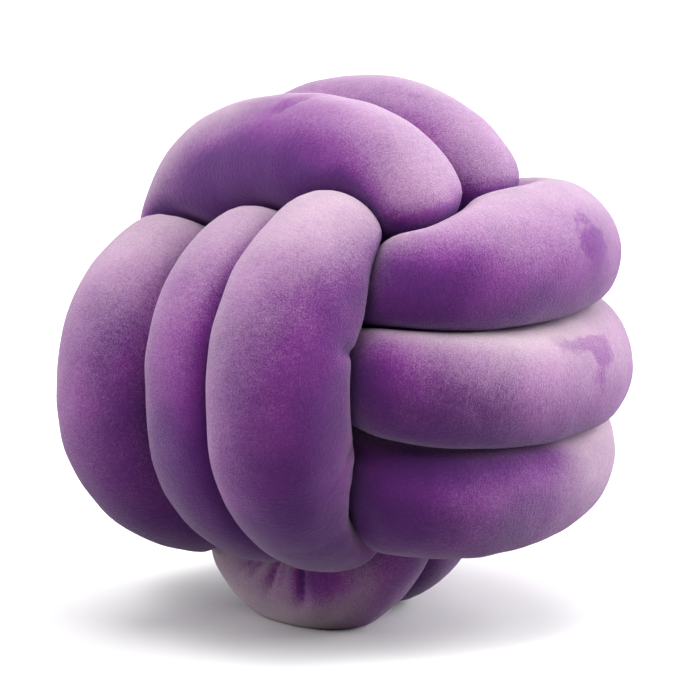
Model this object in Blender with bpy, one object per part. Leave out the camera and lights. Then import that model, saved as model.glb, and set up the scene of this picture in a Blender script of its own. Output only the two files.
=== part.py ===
"""Knot cushion: one long stuffed plush tube worked into a ball.

The tube goes round in three bands of three turns. Each band crosses the one before it at right
angles and lies over its ends, and both ends of the tube are tucked into the middle.
"""
import bmesh
import bpy
import numpy as np

# sizes in metres
TUBE_RADIUS = 0.0358        # of the stuffed tube
FLOOR = -0.1345             # the surface it rests on, below the middle of the ball
CORE_RADIUS = 0.074         # the middle of the ball, where the hidden lengths are packed together
STATION_STEP = 0.008        # along the tube
AROUND = 32                 # points round the tube
BEND_LIMIT = 0.9            # part of a bend's own radius that the tube's inner side may fill
ROUNDING = 0.0064           # softens the changes from one turn to the next
TUCK_FIT = 0.88             # size of the tube where a pass tucks under the next band
END_FIT = 0.90              # size of the tube where it passes through the middle
CHANGE = 0.11               # part of a turn over which it moves to the next lane
LEAD = (0.02, 0.04)         # part of a turn left out at a free end and at a link
PULL = (0.038, 0.032)       # how straight the tube runs out of a band at a free end and at a link
GRAIN = 0.0025              # the passes are pressed into one body at this fineness
TRIANGLES = 11700

# each band: the way it faces, the way it runs at its crown's far end, the way its turns are stacked
BANDS = {
    "upright": ((0, -1, 0), (0, 0, 1), (1, 0, 0)),
    "level": ((1, 0, 0), (0, 1, 0), (0, 0, 1)),
    "over": ((0, 0, 1), (-1, 0, 0), (0, 1, 0)),
}

# one row a turn, lengths in millimetres. lane: place in the stack at the front, the far end, the
# back and the near end. reach: from the middle to the front and the back. half: half its length.
# shift: toward the far end. square: 2 is an oval turn, 3 a boxy one. fit: of the tube's radius.
COLUMNS = ("lane_front", "lane_far", "lane_back", "lane_near", "reach_front", "reach_back",
           "half_front", "half_back", "shift_front", "shift_back", "square_front", "square_back",
           "fit_front", "fit_back")
TURNS = {
    "upright": (
        (66, 52, 42, 33, 107, 95, 71, 63, -1, 0, 2.5, 2.4, 1.00, 1.00),
        (19, 12, -6, 5, 104, 103, 64, 74, -7, 3, 2.9, 2.2, 0.98, 1.00),
        (-45, -33, -54, -33, 105, 98, 64, 74, -12, 0, 2.6, 2.2, 1.01, 1.00),
    ),
    "level": (
        (-52, -35, -70, -46, 102, 91, 75, 72, 6, 0, 2.8, 2.2, 1.00, 1.00),
        (-5, 9, -19, 19, 110, 98, 81, 72, 4, 0, 2.9, 2.2, 1.02, 1.00),
        (51, 47, 32, 28, 105, 92, 72, 72, 4, 0, 2.8, 2.2, 1.03, 1.00),
    ),
    "over": (
        (-42, -49, -26, -31, 94, 108, 71, 54, -18, -6, 3.0, 2.0, 1.05, 0.98),
        (13, -6, 23, 19, 102, 103, 73, 46, -6, 3, 2.6, 2.0, 1.00, 0.98),
        (56, 40, 72, 50, 83, 76, 58, 58, 14, 4, 2.2, 2.2, 0.95, 0.94),
    ),
}
TAIL_START = (16, 22, 10)
TAIL_START_LEAN = (0, 19, -6)
TAIL_END = (-13, 6, 13)
TAIL_END_LEAN = (19, 0, 13)

PLUSH = {"colour": (0.225, 0.062, 0.275, 1.0), "roughness": 0.92, "metallic": 0.0}


def smooth(x, low, high):
    s = np.clip((x - low) / (high - low), 0, 1)
    return s * s * (3 - 2 * s)


def unit(v):
    return v / np.linalg.norm(v, axis=-1, keepdims=True)


def round_the_turn(front, far, back, near, angle):
    """A value that has four settings round a turn and changes evenly between them."""
    return ((front + far + back + near) / 4 + (far - near) / 2 * np.cos(angle)
            + (front - back) / 2 * np.sin(angle)
            + (far - front + near - back) / 4 * np.cos(2 * angle))


def band_line(name, first, last, points=900):
    """The tube's middle line through one band of three turns, and how full the tube is there."""
    face, far_way, stack = (np.array(v, float) for v in BANDS[name])
    rows = np.array(TURNS[name], float)
    rows[:, :10] /= 1000
    turn = np.linspace(first, last, points)
    row = np.clip(np.floor(turn).astype(int), 0, 2)
    part = turn - row
    early, late = smooth(part, -CHANGE, CHANGE), smooth(part, 1 - CHANGE, 1 + CHANGE)

    def column(title):
        values = rows[:, COLUMNS.index(title)]
        here = values[row]
        before, after = values[np.clip(row - 1, 0, 2)], values[np.clip(row + 1, 0, 2)]
        return np.where(part < 0.5, before + (here - before) * early, here + (after - here) * late)

    angle = np.pi - 2 * np.pi * turn
    out, along = np.sin(angle), np.cos(angle)
    front = smooth(out, -0.6, 0.6)

    def either(title):
        return column(title + "_back") + (column(title + "_front") - column(title + "_back")) * front

    lane = round_the_turn(column("lane_front"), column("lane_far"), column("lane_back"),
                          column("lane_near"), angle)
    reach = np.where(out > 0, column("reach_front"), column("reach_back"))
    power = either("square")
    radius = (np.abs(along / either("half")) ** power + np.abs(out / reach) ** power) ** (-1 / power)
    middle = (column("shift_front") + column("shift_back")) / 2
    shift = round_the_turn(column("shift_front"), middle, column("shift_back"), middle, angle)
    full = round_the_turn(column("fit_front"), TUCK_FIT, column("fit_back"), TUCK_FIT, angle)
    line = (np.outer(radius * along + shift, far_way) + np.outer(radius * out, face)
            + np.outer(lane, stack))
    return line, full


def bend(start, start_handle, end_handle, end, points=40):
    s = np.linspace(0, 1, points)[1:-1, None]
    return ((1 - s) ** 3 * start + 3 * (1 - s) ** 2 * s * start_handle
            + 3 * (1 - s) * s ** 2 * end_handle + s ** 3 * end)


def link(before, after):
    """The tube's way from the end of one band to the start of the next."""
    leave, arrive = unit(before[-1] - before[-2]), unit(after[1] - after[0])
    return bend(before[-1], before[-1] + leave * PULL[1], after[0] - arrive * PULL[1], after[0])


def tube_line():
    """The whole middle line from tucked end to tucked end, and how full the tube is along it."""
    upright, full_upright = band_line("upright", LEAD[0], 3 - LEAD[1])
    level, full_level = band_line("level", LEAD[1], 3 - LEAD[1])
    over, full_over = band_line("over", LEAD[1], 3 - LEAD[0])
    first, lean = np.array(TAIL_START) / 1000, np.array(TAIL_START_LEAN) / 1000
    tail_in = bend(first, first + lean, upright[0] + unit(upright[0] - upright[1]) * PULL[0],
                   upright[0])
    last, lean = np.array(TAIL_END) / 1000, np.array(TAIL_END_LEAN) / 1000
    tail_out = bend(over[-1], over[-1] + unit(over[-1] - over[-2]) * PULL[0], last + lean, last)
    pieces = [tail_in, upright, link(upright, level), level, link(level, over), over, tail_out]
    fulls = [full_upright, full_level, full_over]
    full = np.concatenate([fulls[i // 2] if i % 2 else np.full(len(p), END_FIT)
                           for i, p in enumerate(pieces)])
    return np.vstack(pieces), full


def even_out(line, full, step):
    """The same line softened and cut into equal steps."""
    along = np.concatenate([[0], np.cumsum(np.linalg.norm(np.diff(line, axis=0), axis=1))])
    count = int(round(along[-1] / step))
    fine = np.linspace(0, along[-1], 8 * count + 1)
    soft = np.stack([np.interp(fine, along, line[:, i]) for i in range(3)], 1)
    h = fine[1] - fine[0]
    width = int(3 * ROUNDING / h)
    weight = np.exp(-0.5 * (np.arange(-width, width + 1) * h / ROUNDING) ** 2)
    weight /= weight.sum()
    soft = np.vstack([2 * soft[0] - soft[width:0:-1], soft, 2 * soft[-1] - soft[-2:-width - 2:-1]])
    soft = np.stack([np.convolve(soft[:, i], weight, "valid") for i in range(3)], 1)
    length = np.concatenate([[0], np.cumsum(np.linalg.norm(np.diff(soft, axis=0), axis=1))])
    places = np.linspace(0, length[-1], count + 1)
    even = np.stack([np.interp(places, length, soft[:, i]) for i in range(3)], 1)
    return even, np.interp(places / length[-1] * along[-1], along, full)


def sections(line, full, around):
    """Round sections set across the line."""
    step = np.linalg.norm(np.diff(line, axis=0), axis=1).mean()
    heading = unit(np.gradient(line, axis=0))
    side = np.zeros_like(line)
    side[0] = unit(np.cross(heading[0], (0.2, 0.9, -0.3)))
    for i in range(1, len(line)):
        side[i] = unit(side[i - 1] - heading[i] * (side[i - 1] @ heading[i]))
    across = np.cross(heading, side)
    angle = np.linspace(0, 2 * np.pi, around, endpoint=False)
    rays = (np.cos(angle)[None, :, None] * side[:, None]
            + np.sin(angle)[None, :, None] * across[:, None])
    curve = np.einsum("ic,ikc->ik", np.gradient(heading, axis=0) / step, rays)
    inner = BEND_LIMIT / np.maximum(curve, 1e-3)
    free = TUBE_RADIUS * full[:, None] * np.ones_like(inner)
    radius = (free ** -8.0 + inner ** -8.0) ** (-1 / 8.0)
    return line[:, None] + rays * radius[..., None]


def closed_tube(rings):
    """Corners and faces of a tube through the rings, closed at both ends."""
    around = rings.shape[1]
    faces = []
    for i in range(len(rings) - 1):
        for k in range(around):
            a, b = i * around + k, i * around + (k + 1) % around
            faces.append((a, b, b + around, a + around))
    last = rings.shape[0] * around - around
    faces.append(tuple(range(around))[::-1])
    faces.append(tuple(range(last, last + around)))
    return rings.reshape(-1, 3), faces


def pressed_together(mesh):
    """The overlapping passes of a mesh as one closed body with a crease where two passes meet."""
    rough = bpy.data.objects.new("rough", mesh)
    bpy.context.scene.collection.objects.link(rough)
    remesh = rough.modifiers.new("press", "REMESH")
    remesh.mode = "VOXEL"
    remesh.voxel_size = GRAIN
    ease = rough.modifiers.new("ease", "SMOOTH")
    ease.factor = 0.5
    ease.iterations = 2
    dense = bpy.data.meshes.new_from_object(rough.evaluated_get(bpy.context.evaluated_depsgraph_get()))
    fewer = rough.modifiers.new("fewer", "DECIMATE")
    fewer.ratio = TRIANGLES / (2 * len(dense.polygons))
    fewer.use_collapse_triangulate = True
    body = bpy.data.meshes.new_from_object(rough.evaluated_get(bpy.context.evaluated_depsgraph_get()))
    bpy.data.objects.remove(rough, do_unlink=True)
    return body


def knotted_tube():
    line, full = even_out(*tube_line(), STATION_STEP)
    mesh = bpy.data.meshes.new("rough")
    corners, faces = closed_tube(sections(line, full, AROUND))
    mesh.from_pydata(corners.tolist(), [], faces)
    both = bmesh.new()
    both.from_mesh(mesh)
    bmesh.ops.create_icosphere(both, subdivisions=4, radius=CORE_RADIUS)
    both.to_mesh(mesh)
    both.free()
    body = pressed_together(mesh)
    corners = np.array([v.co for v in body.vertices])
    corners[:, 2] = np.maximum(corners[:, 2], FLOOR)
    low, high = corners.min(0), corners.max(0)
    corners -= ((low[0] + high[0]) / 2, (low[1] + high[1]) / 2, FLOOR)
    for vertex, place in zip(body.vertices, corners.tolist()):
        vertex.co = place
    body.name = "knotted_tube"
    body.materials.clear()
    return body


for old in list(bpy.data.objects):
    bpy.data.objects.remove(old, do_unlink=True)

plush = bpy.data.materials.new("purple_plush")
plush.use_nodes = True
shader = plush.node_tree.nodes["Principled BSDF"]
shader.inputs["Base Color"].default_value = PLUSH["colour"]
shader.inputs["Roughness"].default_value = PLUSH["roughness"]
shader.inputs["Metallic"].default_value = PLUSH["metallic"]

tube = bpy.data.objects.new("knotted_tube", knotted_tube())
tube.data.materials.append(plush)
bpy.context.scene.collection.objects.link(tube)
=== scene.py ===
"""Knot cushion: one long stuffed plush tube worked into a ball of three crossing bands."""
import math

import bpy
import numpy as np
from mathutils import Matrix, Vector, noise


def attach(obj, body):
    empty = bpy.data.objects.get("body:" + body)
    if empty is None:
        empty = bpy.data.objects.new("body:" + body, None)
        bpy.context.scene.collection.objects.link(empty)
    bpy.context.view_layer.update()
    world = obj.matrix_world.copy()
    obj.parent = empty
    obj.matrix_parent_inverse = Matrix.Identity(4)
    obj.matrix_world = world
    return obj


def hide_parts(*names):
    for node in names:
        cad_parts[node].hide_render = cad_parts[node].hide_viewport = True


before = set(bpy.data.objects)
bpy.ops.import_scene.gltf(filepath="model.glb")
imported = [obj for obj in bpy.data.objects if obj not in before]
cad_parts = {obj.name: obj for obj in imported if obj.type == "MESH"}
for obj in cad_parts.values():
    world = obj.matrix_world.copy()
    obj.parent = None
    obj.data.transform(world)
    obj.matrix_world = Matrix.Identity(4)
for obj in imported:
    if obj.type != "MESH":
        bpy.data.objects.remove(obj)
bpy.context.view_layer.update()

# The way the tube runs. The maker winds it three times round upright, three times round level and
# three times over the top, each band over the ends of the one before, and tucks both ends in.
MIDDLE_HEIGHT = 0.1345          # of the ball, above the surface it stands on
BANDS = {       # the way a band faces, the way it runs at its far end, the way its turns are stacked
    "upright": ((0, -1, 0), (0, 0, 1), (1, 0, 0)),
    "level": ((1, 0, 0), (0, 1, 0), (0, 0, 1)),
    "over": ((0, 0, 1), (-1, 0, 0), (0, 1, 0)),
}
# One row a turn, lengths in millimetres. lane: place in the stack at the front, the far end, the back
# and the near end. reach: from the middle to the front and the back. half: half its length. shift:
# toward the far end. square: 2 is an oval turn, 3 a boxy one. fit: of the tube's radius.
COLUMNS = ("lane_front", "lane_far", "lane_back", "lane_near", "reach_front", "reach_back",
           "half_front", "half_back", "shift_front", "shift_back", "square_front", "square_back",
           "fit_front", "fit_back")
TURNS = {
    "upright": (
        (66, 52, 42, 33, 107, 95, 71, 63, -1, 0, 2.5, 2.4, 1.00, 1.00),
        (19, 12, -6, 5, 104, 103, 64, 74, -7, 3, 2.9, 2.2, 0.98, 1.00),
        (-45, -33, -54, -33, 105, 98, 64, 74, -12, 0, 2.6, 2.2, 1.01, 1.00),
    ),
    "level": (
        (-52, -35, -70, -46, 102, 91, 75, 72, 6, 0, 2.8, 2.2, 1.00, 1.00),
        (-5, 9, -19, 19, 110, 98, 81, 72, 4, 0, 2.9, 2.2, 1.02, 1.00),
        (51, 47, 32, 28, 105, 92, 72, 72, 4, 0, 2.8, 2.2, 1.03, 1.00),
    ),
    "over": (
        (-42, -49, -26, -31, 94, 108, 71, 54, -18, -6, 3.0, 2.0, 1.05, 0.98),
        (13, -6, 23, 19, 102, 103, 73, 46, -6, 3, 2.6, 2.0, 1.00, 0.98),
        (56, 40, 72, 50, 83, 76, 58, 58, 14, 4, 2.2, 2.2, 0.95, 0.94),
    ),
}
TUCK_FIT, END_FIT = 0.88, 0.90      # how full the tube is in a tuck and through the middle
CHANGE = 0.11                       # part of a turn over which it moves to the next lane
TURN_OVER = 0.6                     # part of the reach over which front settings become back ones
LEAD = (0.02, 0.04)                 # part of a turn left out at a free end and at a link
PULL = (0.038, 0.032)               # how straight the tube runs out of a band at each of those
TAIL_START, TAIL_START_LEAN = (16, 22, 10), (0, 19, -6)     # the hidden ends, in millimetres
TAIL_END, TAIL_END_LEAN = (-13, 6, 13), (19, 0, 13)
ROUNDING = 0.0064                   # over which a bend is eased
STEP, HIDDEN_STEP = 0.0029, 0.0080  # between rings of the mesh, where the tube shows and inside
HIDDEN_TO, SHOWS_FROM = 0.072, 0.092        # from the middle of the ball
PUCKERED = ((0.222, 0.055, 0.0023), (4.120, 0.034, 0.0016))     # middle, half length, finer step
PUCKERED_EASE = 0.01                # over which the finer step comes in


def smooth(x, low, high):
    """0 as far as low and 1 from high on, with a soft change between them."""
    s = np.clip((x - low) / (high - low), 0, 1)
    return s * s * (3 - 2 * s)


def unit(v):
    return v / np.linalg.norm(v, axis=-1, keepdims=True)


def round_the_turn(front, far, back, near, angle):
    """A value that has four settings round a turn and changes evenly between them."""
    return ((front + far + back + near) / 4 + (far - near) / 2 * np.cos(angle)
            + (front - back) / 2 * np.sin(angle)
            + (far - front + near - back) / 4 * np.cos(2 * angle))


def band_line(name, lead_in, lead_out, points=900):
    """The tube's middle line through one band of turns, and how full the tube is there."""
    face, far_way, stack = (np.array(v, float) for v in BANDS[name])
    rows = np.array(TURNS[name], float)
    rows[:, :COLUMNS.index("square_front")] /= 1000     # the lengths come first
    last = len(rows) - 1
    turn = np.linspace(lead_in, len(rows) - lead_out, points)
    row = np.clip(np.floor(turn).astype(int), 0, last)
    part = turn - row
    early, late = smooth(part, -CHANGE, CHANGE), smooth(part, 1 - CHANGE, 1 + CHANGE)

    def column(title):
        values = rows[:, COLUMNS.index(title)]
        here = values[row]
        before, after = values[np.clip(row - 1, 0, last)], values[np.clip(row + 1, 0, last)]
        return np.where(part < 0.5, before + (here - before) * early, here + (after - here) * late)

    angle = np.pi - 2 * np.pi * turn
    out, along = np.sin(angle), np.cos(angle)
    front = smooth(out, -TURN_OVER, TURN_OVER)

    def either(title):
        return column(title + "_back") + (column(title + "_front") - column(title + "_back")) * front

    lane = round_the_turn(column("lane_front"), column("lane_far"), column("lane_back"),
                          column("lane_near"), angle)
    reach = np.where(out > 0, column("reach_front"), column("reach_back"))
    power = either("square")
    size = (np.abs(along / either("half")) ** power + np.abs(out / reach) ** power) ** (-1 / power)
    shift_ends = (column("shift_front") + column("shift_back")) / 2
    shift = round_the_turn(column("shift_front"), shift_ends, column("shift_back"), shift_ends, angle)
    full = round_the_turn(column("fit_front"), TUCK_FIT, column("fit_back"), TUCK_FIT, angle)
    line = np.outer(size * along + shift, far_way) + np.outer(size * out, face) + np.outer(lane, stack)
    return line, full


def bend(start, start_handle, end_handle, end, points=40):
    s = np.linspace(0, 1, points)[1:-1, None]
    return ((1 - s) ** 3 * start + 3 * (1 - s) ** 2 * s * start_handle
            + 3 * (1 - s) * s ** 2 * end_handle + s ** 3 * end)


def link(before, after):
    """The tube's way from the end of one band to the start of the next."""
    leave, arrive = unit(before[-1] - before[-2]), unit(after[1] - after[0])
    return bend(before[-1], before[-1] + leave * PULL[1], after[0] - arrive * PULL[1], after[0])


def tube_line():
    """The whole middle line from tucked end to tucked end, and how full the tube is along it."""
    upright, full_upright = band_line("upright", LEAD[0], LEAD[1])
    level, full_level = band_line("level", LEAD[1], LEAD[1])
    over, full_over = band_line("over", LEAD[1], LEAD[0])
    first, lean = np.array(TAIL_START) / 1000, np.array(TAIL_START_LEAN) / 1000
    tail_in = bend(first, first + lean, upright[0] + unit(upright[0] - upright[1]) * PULL[0],
                   upright[0])
    last, lean = np.array(TAIL_END) / 1000, np.array(TAIL_END_LEAN) / 1000
    tail_out = bend(over[-1], over[-1] + unit(over[-1] - over[-2]) * PULL[0], last + lean, last)
    pieces = [tail_in, upright, link(upright, level), level, link(level, over), over, tail_out]
    fulls = [full_upright, full_level, full_over]
    full = np.concatenate([fulls[i // 2] if i % 2 else np.full(len(p), END_FIT)
                           for i, p in enumerate(pieces)])
    return np.vstack(pieces), full


def even_out(line, full, points=16000):
    """The same line softened and cut into steps, with how full it is and the length at each step."""
    along = np.concatenate([[0], np.cumsum(np.linalg.norm(np.diff(line, axis=0), axis=1))])
    fine = np.linspace(0, along[-1], points)
    soft = np.stack([np.interp(fine, along, line[:, i]) for i in range(3)], 1)
    apart = fine[1] - fine[0]
    width = int(3 * ROUNDING / apart)
    weight = np.exp(-0.5 * (np.arange(-width, width + 1) * apart / ROUNDING) ** 2)
    weight /= weight.sum()
    soft = np.vstack([2 * soft[0] - soft[width:0:-1], soft, 2 * soft[-1] - soft[-2:-width - 2:-1]])
    soft = np.stack([np.convolve(soft[:, i], weight, "valid") for i in range(3)], 1)
    length = np.concatenate([[0], np.cumsum(np.linalg.norm(np.diff(soft, axis=0), axis=1))])
    shows = smooth(np.linalg.norm(soft, axis=1), HIDDEN_TO, SHOWS_FROM)
    step = HIDDEN_STEP + (STEP - HIDDEN_STEP) * shows
    for at, half, finer in PUCKERED:
        inside = half + PUCKERED_EASE - np.abs(length - at)
        step = step + (finer - step) * smooth(inside, 0, PUCKERED_EASE)
    rings = np.cumsum(np.gradient(length) / step)
    places = np.interp(np.linspace(rings[0], rings[-1], int(rings[-1])), rings, length)
    even = np.stack([np.interp(places, length, soft[:, i]) for i in range(3)], 1)
    return even, np.interp(places / length[-1] * along[-1], along, full), places


line, full, places = even_out(*tube_line())

# The stuffed tube: short-pile plush sewn into a sleeve and filled with fibre. Each pass is pressed
# flat against its neighbours and stays round where it is free.
TUBE_RADIUS = 0.0358
AROUND = 66                 # points round the tube
OUTER_SHARE = 0.42          # how much closer they are on the outer side than the inner
FIRST_SIDE = (0.2, 0.9, -0.3)       # any way but the tube's own at its start
OUTER_EASE = 0.03           # along the tube, over which the way to its outer side is evened out
BEND_LIMIT = 0.9            # part of a bend's own radius that the tube's inner side may fill
STRAIGHT = 1e-3             # a bend as slight as this counts as none
APART, APART_EASE = 0.083, 0.2      # nearer than this along the tube, two places don't press
BESIDE = 0.12               # farther than this from each other, they don't press either
PRESSING = slice(None, None, 2)     # every second ring stands for the tube that presses
CROWDING = 14.0             # how sharply a pass turns in where it meets another
GAP = 0.0006                # between a pass and the plane where it meets another
LEAST_SHARED, LEAST_RADIUS = 1e-5, 0.004    # keep a crowded place from turning inside out
NEXT_TO_NOTHING = 1e-9      # keeps a number from being divided by nought
EASINGS = 3                 # times that the pressed shape is evened out

# Rings are set square to the line without a twist, and the angles of their points are measured from
# the side that faces out of the ball.
heading = unit(np.gradient(line, places, axis=0))
side = np.zeros_like(line)
side[0] = unit(np.cross(heading[0], FIRST_SIDE))
for i in range(1, len(line)):
    side[i] = unit(side[i - 1] - heading[i] * (side[i - 1] @ heading[i]))
across = np.cross(heading, side)
outward = np.unwrap(np.arctan2((line * across).sum(1), (line * side).sum(1)))
width = int(OUTER_EASE / STEP)
weight = np.hanning(2 * width + 1) / np.hanning(2 * width + 1).sum()
outward = np.convolve(np.pad(outward, width, mode="edge"), weight, "valid")
ring = np.linspace(-np.pi, np.pi, AROUND, endpoint=False)
from_outside = ring - OUTER_SHARE * np.sin(ring)
angle = outward[:, None] + from_outside[None]
rays = np.cos(angle)[..., None] * side[:, None] + np.sin(angle)[..., None] * across[:, None]

# A point goes out as far as the tube's own radius, its limit in a bend and the planes where it meets
# other places allow. At the high power of CROWDING the nearest of them counts almost alone, and
# spread is what a long straight neighbour then adds up to, so that it counts as one plane.
curve = np.einsum("ic,ikc->ik", np.gradient(heading, places, axis=0), rays)
inner = BEND_LIMIT / np.maximum(curve, STRAIGHT)
free = TUBE_RADIUS * full[:, None] * np.ones_like(inner)
spread = math.sqrt(math.pi) * math.gamma(CROWDING) / math.gamma(CROWDING + 0.5)
others, other_places, other_size = line[PRESSING], places[PRESSING], TUBE_RADIUS * full[PRESSING]
other_step = np.gradient(other_places)
crowd = np.full_like(free, NEXT_TO_NOTHING)
apart_from, apart_to = APART * (1 - APART_EASE), APART * (1 + APART_EASE)
for i in range(len(line)):
    away = others - line[i]
    distance = np.linalg.norm(away, axis=1) + NEXT_TO_NOTHING
    near = (distance < BESIDE) & (np.abs(other_places - places[i]) > apart_from)
    if not near.any():
        continue
    away, distance = away[near], distance[near]
    shared = distance ** 2 + free[i, 0] ** 2 - other_size[near] ** 2
    counts = (smooth(np.abs(other_places[near] - places[i]), apart_from, apart_to)
              * other_step[near] / distance / spread)
    toward = np.maximum(rays[i] @ away.T, 0)
    crowd[i] += (counts * (2 * toward / np.maximum(shared, LEAST_SHARED)) ** CROWDING).sum(1)
room = np.maximum(crowd ** (-1 / CROWDING) - GAP, LEAST_RADIUS)
radius = (free ** -CROWDING + room ** -CROWDING + inner ** -CROWDING) ** (-1 / CROWDING)
for easing in range(EASINGS):
    radius = (radius * 2 + np.roll(radius, 1, 1) + np.roll(radius, -1, 1)) / 4
    radius[1:-1] = (radius[1:-1] * 2 + radius[2:] + radius[:-2]) / 4

# The puckers, the dimple, one swelling and the sunken end of one pass, each placed one by one: along
# the tube in m, degrees round it from its outer side, half length and half width in mm, slant from the
# tube's own way in degrees, and depth in mm. A depth below nought swells out.
CREASES = (
    (0.2640, 76, 12, 3.2, 90, 2.0), (0.2120, 82, 9, 3.0, 90, 1.8), (0.2010, 78, 8, 1.8, 90, 0.9),
    (0.1915, 76, 8, 2.2, 90, 1.0), (0.1785, 66, 12, 2.4, 90, 1.6), (0.1690, 45, 10, 12, 0, -2.0),
    (4.0960, -76, 7, 1.8, 112, 0.9), (4.1015, -76, 9, 1.8, 112, 1.4), (4.1070, -77, 9, 2.0, 112, 1.5),
    (4.1195, -79, 11, 2.2, 115, 2.4), (4.1270, -80, 8, 2.0, 118, 1.0), (4.1365, -66, 13, 2.2, 123, 3.2),
    (3.8415, 0, 11, 2.4, 112, 2.2), (2.5820, 16, 6, 1.6, 60, 0.5), (1.9440, 4, 9, 16, 0, 4.0),
)
LUMPS = ((22, 0.0006), (70, 0.00025))       # of the filling: how many to the metre, and how proud
SETTLE = 0.002              # how softly the underside turns up from the surface it stands on


def spots(rows):
    """How strong such marks are at each point. One is even along its length and fades across it."""
    total = np.zeros_like(radius)
    for along, degrees, long_half, wide_half, slant, strength in rows:
        ahead = (places[:, None] - along) * 1000
        over = (from_outside - math.radians(degrees))[None] * TUBE_RADIUS * 1000
        c, s = math.cos(math.radians(slant)), math.sin(math.radians(slant))
        run, wide = ahead * c + over * s, over * c - ahead * s
        total += strength * np.exp(-(run / long_half) ** 4 - (wide / wide_half) ** 2)
    return total


radius = radius - spots(CREASES) / 1000
skin = line[:, None] + rays * radius[..., None]
for to_the_metre, proud in LUMPS:
    field = [noise.noise(Vector(spot) * to_the_metre) for spot in skin.reshape(-1, 3).tolist()]
    skin = skin + rays * (np.array(field).reshape(radius.shape) * 2 * proud)[..., None]

# The ball is set over the origin, and its underside is pressed flat on what it stands on.
middle = -(skin.min((0, 1)) + skin.max((0, 1))) / 2
middle[2] = MIDDLE_HEIGHT
skin = skin + middle
above = skin[..., 2]
skin[..., 2] = np.where(above < -SETTLE, 0,
                        np.where(above > SETTLE, above, (above + SETTLE) ** 2 / (4 * SETTLE)))

count = len(line)
faces = []
for i in range(count - 1):
    for k in range(AROUND):
        a, b = i * AROUND + k, i * AROUND + (k + 1) % AROUND
        faces.append((a, b, b + AROUND, a + AROUND))
faces.append(tuple(range(AROUND))[::-1])
faces.append(tuple(range((count - 1) * AROUND, count * AROUND)))
mesh = bpy.data.meshes.new("plush_tube")
mesh.from_pydata(skin.reshape(-1, 3).tolist(), [], faces)
for polygon in mesh.polygons:
    polygon.use_smooth = True
mesh.update()
tube = bpy.data.objects.new("plush_tube", mesh)
bpy.context.scene.collection.objects.link(tube)

# The nap's own map, in metres along the tube and round it. A ring's last face closes it, so the map
# goes on there by a whole turn.
corner = np.array([loop.vertex_index for loop in mesh.loops])
row, col = corner // AROUND, corner % AROUND
around = (angle - angle.mean(1, keepdims=True)) * TUBE_RADIUS
quads = 4 * AROUND * (count - 1)
face_col = col[:quads].reshape(-1, 4)
closing = (face_col.max(1) == AROUND - 1) & (face_col.min(1) == 0)
on_by = np.zeros(len(corner))
on_by[:quads] = ((face_col == 0) & closing[:, None]).ravel() * 2 * np.pi * TUBE_RADIUS
unrolled = np.stack([places[row], around[row, col] + on_by], 1)
mesh.uv_layers.new(name="nap").data.foreach_set("uv", unrolled.ravel())

# How the pile lies, and the painted light and shade put into its colour. It is brushed paler or deeper
# in some places and pushed up in others, each placed one by one; some paler places are painted light
# on the lowest pass's underside, and some deeper ones are painted shade in hollows and under other
# passes.
# It is painted paler where it faces up, as light from above, and deeper as painted shade in a crease
# and where two passes are squeezed.
NAP_MARKS_AND_PAINTED_SHADING = (     # the columns of CREASES, with how pale in place of depth: below nought is deep
    (0.312, -12, 24, 34, 0, 0.18), (0.220, -50, 60, 16, 0, 0.05), (0.195, 15, 26, 26, 0, -0.10),
    (0.240, 50, 70, 18, 0, -0.16), (0.862, 5, 24, 30, 0, 0.12), (0.790, -20, 80, 14, 0, -0.06),
    (0.790, 38, 80, 16, 0, -0.14), (0.745, 5, 44, 34, 0, -0.16), (1.430, 35, 30, 34, 0, 0.12),
    (3.835, -40, 110, 40, 0, -0.08), (3.845, -64, 50, 20, 0, -0.36), (3.838, -4, 26, 18, 0, -0.14),
    (3.775, -8, 20, 26, 0, 0.18), (3.895, -12, 30, 26, 0, 0.14), (4.400, -30, 50, 30, 0, -0.12),
    (4.345, -33, 16, 24, 0, 0.06), (3.165, 5, 22, 20, 0, -0.16), (3.190, 30, 50, 14, 0, -0.06),
    (2.590, -50, 60, 12, 0, 0.24), (2.620, -20, 48, 34, 0, 0.12), (2.665, -20, 26, 30, 0, 0.04),
    (2.540, 0, 16, 26, 0, -0.22), (2.580, 30, 50, 14, 0, 0.04), (1.990, -60, 46, 12, 0, -0.38),
    (1.945, -20, 22, 34, 0, -0.30), (2.050, -30, 26, 30, 0, 0.28), (1.990, 20, 60, 22, 0, 0.09),
    (4.105, -40, 34, 26, 0, 0.46), (4.125, -22, 40, 14, 0, 0.50), (4.155, -55, 26, 22, 0, -0.25),
)
RUFFLED = (     # the same columns, for the places where the pile has been pushed up: 1 is wholly so
    (3.238, -2, 13, 9, 85, 1.1), (3.240, 24, 12, 7, 95, 0.9), (2.645, -6, 11, 9, 60, 0.7),
    (2.634, -38, 18, 5, 5, 1.2), (2.648, -30, 8, 8, 80, 1.0), (3.862, 0, 12, 8, 30, 0.6),
    (4.417, -37, 24, 9, 10, 0.6), (4.385, -27, 18, 7, 0, 0.6), (3.846, -3, 9, 7, 80, 0.6),
)
FACING_UP_PAINTED_LIGHT = 0.31            # painted light: how much paler it is where it faces up
CREASE_PAINTED_SHADE, SQUEEZED_PAINTED_SHADE = 0.08, 0.36     # painted shade: how much deeper for each mm of crease, and where squeezed
SQUEEZED_FROM, SQUEEZED_TO = 0.02, 0.15     # part of the radius that is pressed away
UNSHADED_ABOVE, UNSHADED_EASE = 0.35, 0.5     # facing up more than this, it gets no painted shade and keeps its painted sheen where squeezed

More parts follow.
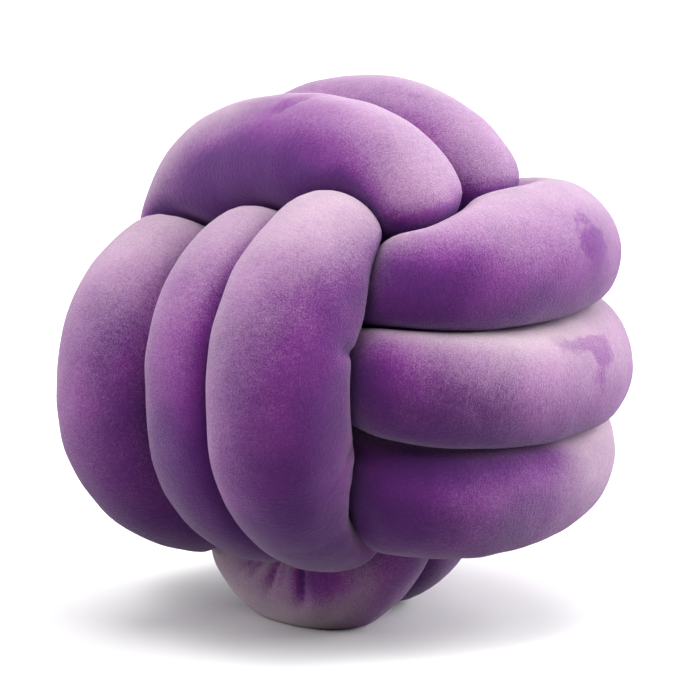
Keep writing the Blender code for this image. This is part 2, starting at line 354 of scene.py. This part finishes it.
facing_up = np.array([vertex.normal.z for vertex in mesh.vertices]).reshape(radius.shape)
# Painted shade where two passes are squeezed together, spared on parts that face up.
squeezed = (smooth(1 - radius / free, SQUEEZED_FROM, SQUEEZED_TO)
            * smooth(UNSHADED_ABOVE - facing_up, 0, UNSHADED_EASE))
# The nap marks, with painted light where it faces up and painted shade in creases and where squeezed.
nap_and_painted_shading = (spots(NAP_MARKS_AND_PAINTED_SHADING) + FACING_UP_PAINTED_LIGHT * facing_up - CREASE_PAINTED_SHADE * np.maximum(spots(CREASES), 0)
           - SQUEEZED_PAINTED_SHADE * squeezed)
for name, values in (("ruffled", spots(RUFFLED)), ("nap_and_painted_shading", nap_and_painted_shading), ("free_side", 1 - squeezed)):
    mesh.attributes.new(name, "FLOAT", "POINT").data.foreach_set("value", values.ravel())

# The plush: a deep purple pile with pale tips, so its colour changes with the way it lies and with
# the way it is seen. Besides the nap, it carries painted light and shade: paler where it faces up,
# deeper in creases and between squeezed passes, and paler seen edge-on as a painted sheen.
# It stands in tufts of 2 to 3 mm, and its fuzz is under 1 mm.
DEEP, DEEP_BLUE = (0.275, 0.042, 0.325, 1), (0.105, 0.024, 0.175, 1)    # down in the pile; it turns bluer where marked deep, painted shade included
PALE = (0.88, 0.73, 0.74, 1)                                        # along its tips, and the colour of painted light and painted sheen
DEEP_SHARE = 0.65           # of the redder deep colour, where nothing changes it
RIM, RIM_WIDTH = 0.13, 0.6  # painted sheen: how much paler it is where it is seen along its tips, edge-on, and how far in
RIBS = (1100, 180, 1)       # to the metre, along the tube and round it
RUFFLED_SHADE, STRAY_SHADE = 0.24, 0.07     # how much deeper where pushed up, and in stray places
FUZZ_HEIGHT = 0.0006
PILE = {"Roughness": 0.95, "Specular IOR Level": 0.1, "Sheen Roughness": 0.4}
SEEN = (        # from the front and along the tips: how much paler as painted sheen, how much sheen, and its tint
    (0, 0.5, (0.55, 0.30, 0.70, 1)),
    (RIM, 0.75, (0.90, 0.79, 0.90, 1)),
)
plush = bpy.data.materials.new("purple_plush")
plush.use_nodes = True
plush.node_tree.nodes.clear()


def node(kind, settings, sockets, owner=plush):
    """A new node of a material or a world, with its settings made first, then values and links."""
    made = owner.node_tree.nodes.new(kind)
    for name, value in settings.items():
        setattr(made, name, value)
    for name, value in sockets.items():
        value = getattr(value, "socket", value)
        if isinstance(value, bpy.types.NodeSocket):
            owner.node_tree.links.new(value, made.inputs[name])
        else:
            made.inputs[name].default_value = value
    return made


class Shade:
    """A number that changes over the plush. Sums on it add Math nodes."""

    def __init__(self, socket):
        self.socket = socket

    def math(self, operation, first, second, clamp=False):
        settings = {"operation": operation, "use_clamp": clamp}
        return Shade(node("ShaderNodeMath", settings, {0: first, 1: second}).outputs[0])

    def __add__(self, other):
        return self.math("ADD", self, other)

    def __sub__(self, other):
        return self.math("SUBTRACT", self, other)

    def __rsub__(self, other):
        return self.math("SUBTRACT", other, self)

    def __mul__(self, other):
        return self.math("MULTIPLY", self, other)

    def __pow__(self, other):
        return self.math("POWER", self, other)

    def held(self):
        """Kept between 0 and 1."""
        return self.math("ADD", self, 0, clamp=True)

    def edged(self, start, steep):
        """0 as far as the start, and from there up to 1."""
        return ((self - start) * steep).held()

    __radd__, __rmul__ = __add__, __mul__


def painted(name):
    """A value that was worked out at the points of the mesh."""
    return Shade(node("ShaderNodeAttribute", {"attribute_name": name}, {}).outputs["Fac"])


def mottle(scale, detail, rough, where):
    """Noise about nought, with that many lumps to the metre, or to one rib."""
    found = node("ShaderNodeTexNoise", {}, {"Vector": where, "Scale": scale, "Detail": detail,
                                            "Roughness": rough})
    return Shade(found.outputs["Fac"]) - 0.5


def blend(amount, first, second):
    """The first colour where the amount is 0, and the second where it is 1."""
    mixed = node("ShaderNodeMix", {"data_type": "RGBA"},
                 {"Factor": amount.held(), 6: first, 7: second})
    return mixed.outputs[2]


place = node("ShaderNodeTexCoord", {}, {}).outputs["Object"]
nap = node("ShaderNodeUVMap", {"uv_map": "nap"}, {}).outputs["UV"]
ribs = node("ShaderNodeMapping", {}, {"Vector": nap, "Scale": RIBS}).outputs["Vector"]
drift = mottle(20, 2, 0.5, place)
patches = mottle(70, 4, 0.6, place)
fuzz = mottle(1500, 3, 0.8, place)
tufts = mottle(400, 2, 0.6, place)
cross = mottle(1.0, 2, 0.6, ribs)
shaded_nap, loose, pushed = painted("nap_and_painted_shading"), painted("free_side"), painted("ruffled")
# Painted sheen: the colour is mixed paler where the surface is seen edge-on, and less so where passes
# are squeezed.
painted_sheen_rim = Shade(node("ShaderNodeLayerWeight", {}, {"Blend": 0.5}).outputs["Facing"]) ** RIM_WIDTH * loose
grain = fuzz * 1.6 + tufts * 0.7 + cross * 0.6
bump = node("ShaderNodeBump", {}, {"Strength": 0.8, "Distance": FUZZ_HEIGHT, "Height": grain})
# The deep colour turns bluer where the pile is marked deep, in its nap and in painted shade.
deep_and_painted_shade = shaded_nap.math("MINIMUM", shaded_nap, 0)
deep = blend(DEEP_SHARE + deep_and_painted_shade * 2.5 + drift * 1.8 + tufts * 0.4 + fuzz * 1.6, DEEP_BLUE, DEEP)
ruffles = (pushed * 1.2 + patches * 4.5 + tufts).edged(0.6, 2) * pushed.held()
stray = (drift * 3 + patches * 2.6 + tufts).edged(0.75, 3)
upset = ruffles * RUFFLED_SHADE + stray * STRAY_SHADE
# How pale the colour is: the nap marks and noise with the painted light and shade they carry, less the
# pushed-up pile.
paleness_with_painted_light = shaded_nap + drift * 0.10 + patches * 0.14 + tufts * 0.12 + fuzz * 0.80 + cross * 0.14 - upset
shaders = []
for paler, sheen, tint in SEEN:
    pile = node("ShaderNodeBsdfPrincipled", {},
                {**PILE, "Base Color": blend(paleness_with_painted_light + paler, deep, PALE), "Sheen Weight": sheen,
                 "Sheen Tint": tint, "Normal": bump.outputs["Normal"]})
    shaders.append(pile.outputs["BSDF"])
velvet = node("ShaderNodeMixShader", {}, {0: painted_sheen_rim, 1: shaders[0], 2: shaders[1]})
node("ShaderNodeOutputMaterial", {}, {"Surface": velvet.outputs["Shader"]})
mesh.materials.append(plush)
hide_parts("knotted_tube")
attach(tube, "root")

# The studio: a plain pale floor and six broad soft lights, overhead, high and low on either side,
# and low behind on the right. The floor gives back less light than its own tone would. The surround
# is a dark grey that gives next to none, and only a view from lower than the photograph's shows it.
FLOOR_SIZE = 60
FLOOR_SEEN, FLOOR_GIVES = 0.88, 0.33            # its tone to the camera and to the cushion
SURROUND = (0.05, 0.05, 0.05, 1)
SURROUND_SEEN, SURROUND_GIVES = 0.95, 0.03      # its strength to each of them
FACING = 45                 # degrees round to the corner between the two front faces
LIGHTS = {      # degrees to the right of the camera, degrees up, strength
    "above": (0, 90, 0.50),
    "left_high": (-60, 60, 0.60),
    "right_high": (60, 60, 0.33),
    "left": (-92, 18, 0.57),
    "right": (95, 32, 0.76),
    "behind": (120, 10, 1.45),
}
SPREAD = 50                 # degrees that a light fills


def bearing(degrees_round, degrees_up):
    """The way from the cushion to what stands there."""
    azimuth, elevation = math.radians(degrees_round), math.radians(degrees_up)
    return Vector((math.sin(azimuth) * math.cos(elevation), -math.cos(azimuth) * math.cos(elevation),
                   math.sin(elevation)))


def seen_and_given(seen, given, owner):
    """One number for what the camera sees and another for the light that falls on the cushion."""
    owner.use_nodes = True
    owner.node_tree.nodes.clear()
    ray = node("ShaderNodeLightPath", {}, {}, owner).outputs["Is Camera Ray"]
    return node("ShaderNodeMapRange", {}, {"Value": ray, "To Min": given, "To Max": seen},
                owner).outputs["Result"]


bpy.ops.mesh.primitive_plane_add(size=FLOOR_SIZE, location=(0, 0, 0))
floor = bpy.context.object
floor.name = "floor"
paint = bpy.data.materials.new("pale_floor")
tone = seen_and_given(FLOOR_SEEN, FLOOR_GIVES, paint)
coat = node("ShaderNodeBsdfPrincipled", {},
            {"Base Color": tone, "Roughness": 0.95, "Specular IOR Level": 0.0}, paint)
node("ShaderNodeOutputMaterial", {}, {"Surface": coat.outputs["BSDF"]}, paint)
floor.data.materials.append(paint)

for name, (turned, raised, strength) in LIGHTS.items():
    bpy.ops.object.light_add(type="SUN")
    lamp = bpy.context.object
    lamp.name = "light_" + name
    lamp.rotation_mode = "QUATERNION"
    lamp.rotation_quaternion = bearing(FACING + turned, raised).to_track_quat("Z", "Y")
    lamp.data.energy = strength * math.pi
    lamp.data.angle = math.radians(SPREAD)

surround = bpy.data.worlds.new("surround")
glow = seen_and_given(SURROUND_SEEN, SURROUND_GIVES, surround)
backdrop = node("ShaderNodeBackground", {}, {"Color": SURROUND, "Strength": glow}, surround)
node("ShaderNodeOutputWorld", {}, {"Surface": backdrop.outputs["Background"]}, surround)
bpy.context.scene.world = surround

# The camera: where the photograph's was, in front of the corner between the two front faces and a
# little above them, with a narrow view.
ELEVATION, DISTANCE = 9, 1.408
FOCAL, FRAME, LEFT = 2772, 696, 4   # in pixels: focal length, width, how far left the ball stands
SENSOR = 36
back = bearing(FACING, ELEVATION)
bpy.ops.object.camera_add(location=Vector(middle) + back * DISTANCE)
camera = bpy.context.object
camera.rotation_mode = "QUATERNION"
camera.rotation_quaternion = (-back).to_track_quat("-Z", "Y")
camera.data.sensor_width = SENSOR
camera.data.lens = FOCAL / FRAME * SENSOR
camera.data.shift_x = LEFT / FRAME
bpy.context.scene.camera = camera
bpy.context.scene.view_settings.view_transform = "Standard"
